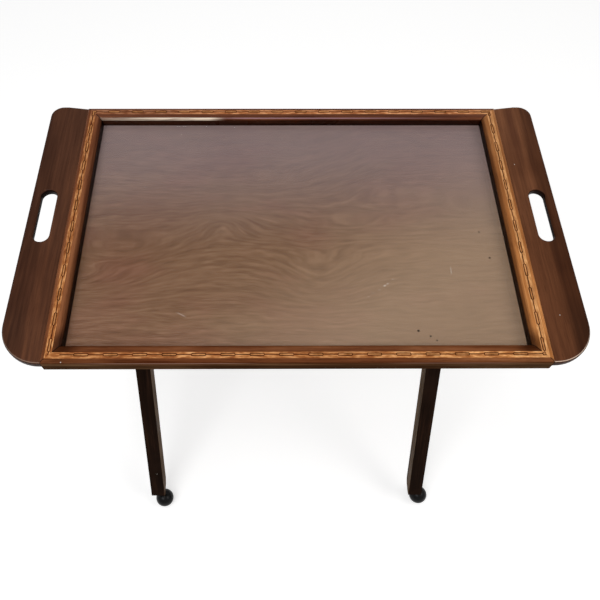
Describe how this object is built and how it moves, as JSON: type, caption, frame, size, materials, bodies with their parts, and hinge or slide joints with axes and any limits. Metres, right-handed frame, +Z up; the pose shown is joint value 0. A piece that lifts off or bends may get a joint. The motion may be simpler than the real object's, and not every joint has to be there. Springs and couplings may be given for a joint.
{
  "type": "folding tray table",
  "caption": "Folding tray table: an inlaid mahogany tray with cut-out handles on a scissor stand with black ball castors",
  "frame": {"origin": "on the floor, under the middle of the tray", "axes": "+Z up, +X towards the right handle board, +Y towards the hinged rear side of the tray"},
  "size_m": [0.758, 0.5146, 0.726],
  "materials": {
    "mahogany_frame": "polished",
    "banding": "polished",
    "figured_panel": "polished",
    "clear_glass": "clear",
    "mahogany_board": "polished",
    "stand_wood": "dark stained",
    "brass_bolt": "dulled",
    "steel": "dulled",
    "black_castor": "worn gloss"
  },
  "bodies": {
    "tray": {"front_rail": "mahogany_frame", "rear_rail": "mahogany_frame", "left_rail": "mahogany_frame", "right_rail": "mahogany_frame", "front_band": "banding", "rear_band": "banding", "left_band": "banding", "right_band": "banding", "panel": "figured_panel", "glass_pane": "clear_glass", "left_handle_board": "mahogany_board", "right_handle_board": "mahogany_board", "hinge_blocks": "stand_wood", "hinge_bolts": "brass_bolt", "hinge_washers": "steel", "block_screws": "steel", "stop_blocks": "stand_wood", "stop_screws": "steel"},
    "outer_frame": {"outer_left_leg": "stand_wood", "outer_right_leg": "stand_wood", "outer_top_rail": "stand_wood", "outer_stretcher": "stand_wood", "pivot_bolts": "brass_bolt", "pivot_washers": "steel", "pivot_nuts": "brass_bolt", "front_sockets": "steel"},
    "inner_frame": {"inner_left_leg": "stand_wood", "inner_right_leg": "stand_wood", "inner_top_rail": "stand_wood", "inner_stretcher": "stand_wood", "rear_sockets": "steel"},
    "front_left_fork": {"front_left_hood": "black_castor", "front_left_stem": "steel", "front_left_axle": "steel"},
    "front_left_ball": {"front_left_wheel": "black_castor"},
    "front_right_fork": {"front_right_hood": "black_castor", "front_right_stem": "steel", "front_right_axle": "steel"},
    "front_right_ball": {"front_right_wheel": "black_castor"},
    "rear_left_fork": {"rear_left_hood": "black_castor", "rear_left_stem": "steel", "rear_left_axle": "steel"},
    "rear_left_ball": {"rear_left_wheel": "black_castor"},
    "rear_right_fork": {"rear_right_hood": "black_castor", "rear_right_stem": "steel", "rear_right_axle": "steel"},
    "rear_right_ball": {"rear_right_wheel": "black_castor"}
  },
  "joints": [
    {"name": "outer_hinge", "type": "hinge", "parent": "tray", "child": "outer_frame", "pos_m": [0, 0.1846, 0.68945], "axis": [1, 0, 0], "range_deg": [0, 26]},
    {"name": "scissor_pivot", "type": "hinge", "parent": "outer_frame", "child": "inner_frame", "pos_m": [0, 0, 0.4008], "axis": [1, 0, 0], "range_deg": [-52, 0]},
    {"name": "front_left_swivel", "type": "hinge", "parent": "outer_frame", "child": "front_left_fork", "pos_m": [-0.2785, -0.22534, 0.0482], "axis": [0, 0, 1], "continuous": true},
    {"name": "front_left_roll", "type": "hinge", "parent": "front_left_fork", "child": "front_left_ball", "pos_m": [-0.26909, -0.23829, 0.019], "axis": [0.5721, 0.4156, -0.7071], "continuous": true},
    {"name": "front_right_swivel", "type": "hinge", "parent": "outer_frame", "child": "front_right_fork", "pos_m": [0.2785, -0.22534, 0.0482], "axis": [0, 0, 1], "continuous": true},
    {"name": "front_right_roll", "type": "hinge", "parent": "front_right_fork", "child": "front_right_ball", "pos_m": [0.29236, -0.23334, 0.019], "axis": [0.3536, 0.6124, -0.7071], "continuous": true},
    {"name": "rear_left_swivel", "type": "hinge", "parent": "inner_frame", "child": "rear_left_fork", "pos_m": [-0.248, 0.22534, 0.0482], "axis": [0, 0, 1], "continuous": true},
    {"name": "rear_left_roll", "type": "hinge", "parent": "rear_left_fork", "child": "rear_left_ball", "pos_m": [-0.2386, 0.23829, 0.019], "axis": [-0.5721, 0.4156, -0.7071], "continuous": true},
    {"name": "rear_right_swivel", "type": "hinge", "parent": "inner_frame", "child": "rear_right_fork", "pos_m": [0.248, 0.22534, 0.0482], "axis": [0, 0, 1], "continuous": true},
    {"name": "rear_right_roll", "type": "hinge", "parent": "rear_right_fork", "child": "rear_right_ball", "pos_m": [0.26186, 0.23334, 0.019], "axis": [-0.3536, 0.6124, -0.7071], "continuous": true}
  ],
  "couplings": [
    {"joint": "scissor_pivot", "follows": "outer_hinge", "ratio": -2}
  ]
}
